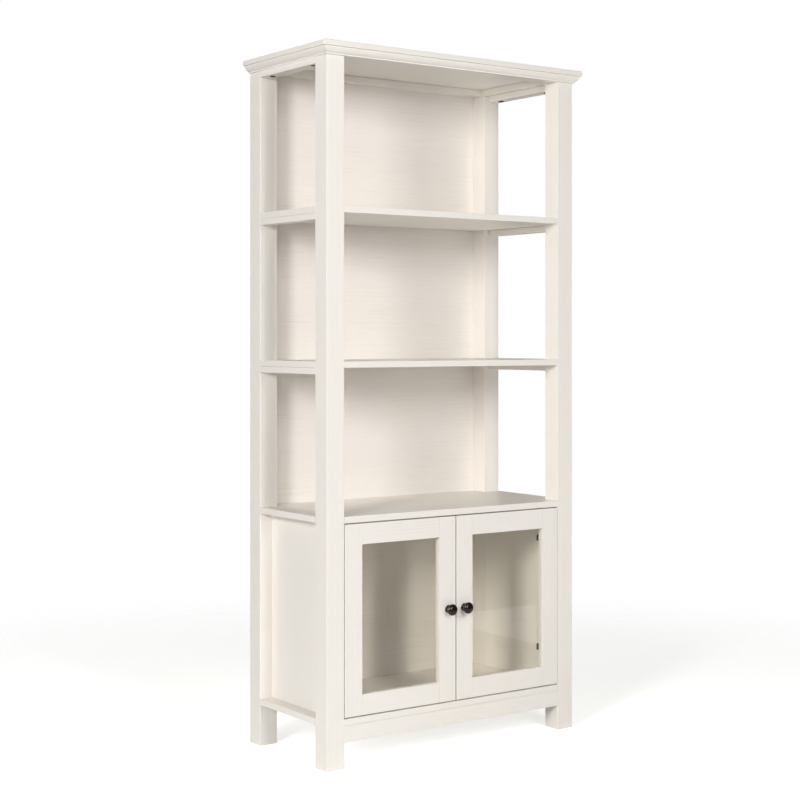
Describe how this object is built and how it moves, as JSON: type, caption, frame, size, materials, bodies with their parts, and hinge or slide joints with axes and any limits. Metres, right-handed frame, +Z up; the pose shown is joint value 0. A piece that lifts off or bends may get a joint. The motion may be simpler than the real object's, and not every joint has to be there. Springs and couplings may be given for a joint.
{
  "type": "bookcase with glazed cabinet",
  "caption": "Open display bookcase on square posts with a moulded top, open shelves, and a low cabinet closed by inset frame doors with glass and round knobs.",
  "frame": {"origin": "on the floor, below the centre of the whole object's box", "axes": "+X to the right seen from the front, +Y towards the back, +Z up"},
  "size_m": [0.842, 0.4032, 1.8],
  "materials": {
    "painted_laminate": "satin off-white paint film over an embossed wood grain",
    "backing_board": "matt off-white paper foil with a fine horizontal grain",
    "clear_glass": "clear float glass",
    "dark_bronze": "satin oil-rubbed dark bronze",
    "zinc_steel": "zinc-plated steel",
    "dark_steel": "black nickel-plated steel",
    "catch_plastic": "moulded off-white plastic"
  },
  "bodies": {
    "carcass": {"back_panel_lower": "backing_board", "back_panel_upper": "backing_board", "cabinet_floor": "painted_laminate", "counter_board": "painted_laminate", "crown_back": "painted_laminate", "crown_front": "painted_laminate", "crown_left": "painted_laminate", "crown_right": "painted_laminate", "hinge_arm_left_lower": "dark_steel", "hinge_arm_left_upper": "dark_steel", "hinge_arm_right_lower": "dark_steel", "hinge_arm_right_upper": "dark_steel", "hinge_plate_left_lower": "dark_steel", "hinge_plate_left_upper": "dark_steel", "hinge_plate_right_lower": "dark_steel", "hinge_plate_right_upper": "dark_steel", "kick_rail": "painted_laminate", "magnetic_catch": "catch_plastic", "middle_shelf": "painted_laminate", "middle_shelf_rail_left": "painted_laminate", "middle_shelf_rail_right": "painted_laminate", "post_front_left": "painted_laminate", "post_front_right": "painted_laminate", "post_rear_left": "painted_laminate", "post_rear_right": "painted_laminate", "side_panel_left": "painted_laminate", "side_panel_right": "painted_laminate", "top_board": "painted_laminate", "top_rail_bolt_left_front": "dark_steel", "top_rail_bolt_left_rear": "dark_steel", "top_rail_bolt_right_front": "dark_steel", "top_rail_bolt_right_rear": "dark_steel", "top_rail_left": "painted_laminate", "top_rail_right": "painted_laminate", "upper_shelf": "painted_laminate", "upper_shelf_rail_left": "painted_laminate", "upper_shelf_rail_right": "painted_laminate"},
    "door_left": {"catch_strike_left": "zinc_steel", "door_left_bottom_rail": "painted_laminate", "door_left_glass": "clear_glass", "door_left_glass_bead": "painted_laminate", "door_left_hinge_stile": "painted_laminate", "door_left_knob": "dark_bronze", "door_left_knob_screw": "zinc_steel", "door_left_meeting_stile": "painted_laminate", "door_left_top_rail": "painted_laminate", "hinge_cup_left_lower": "dark_steel", "hinge_cup_left_upper": "dark_steel"},
    "door_right": {"catch_strike_right": "zinc_steel", "door_right_bottom_rail": "painted_laminate", "door_right_glass": "clear_glass", "door_right_glass_bead": "painted_laminate", "door_right_hinge_stile": "painted_laminate", "door_right_knob": "dark_bronze", "door_right_knob_screw": "zinc_steel", "door_right_meeting_stile": "painted_laminate", "door_right_top_rail": "painted_laminate", "hinge_cup_right_lower": "dark_steel", "hinge_cup_right_upper": "dark_steel"}
  },
  "joints": [
    {"name": "door_left_hinge", "type": "hinge", "parent": "carcass", "child": "door_left", "pos_m": [-0.347, -0.17435, 0.36625], "axis": [0, 0, -1], "range_deg": [0, 105]},
    {"name": "door_right_hinge", "type": "hinge", "parent": "carcass", "child": "door_right", "pos_m": [0.347, -0.17435, 0.36625], "axis": [0, 0, 1], "range_deg": [0, 105]}
  ]
}
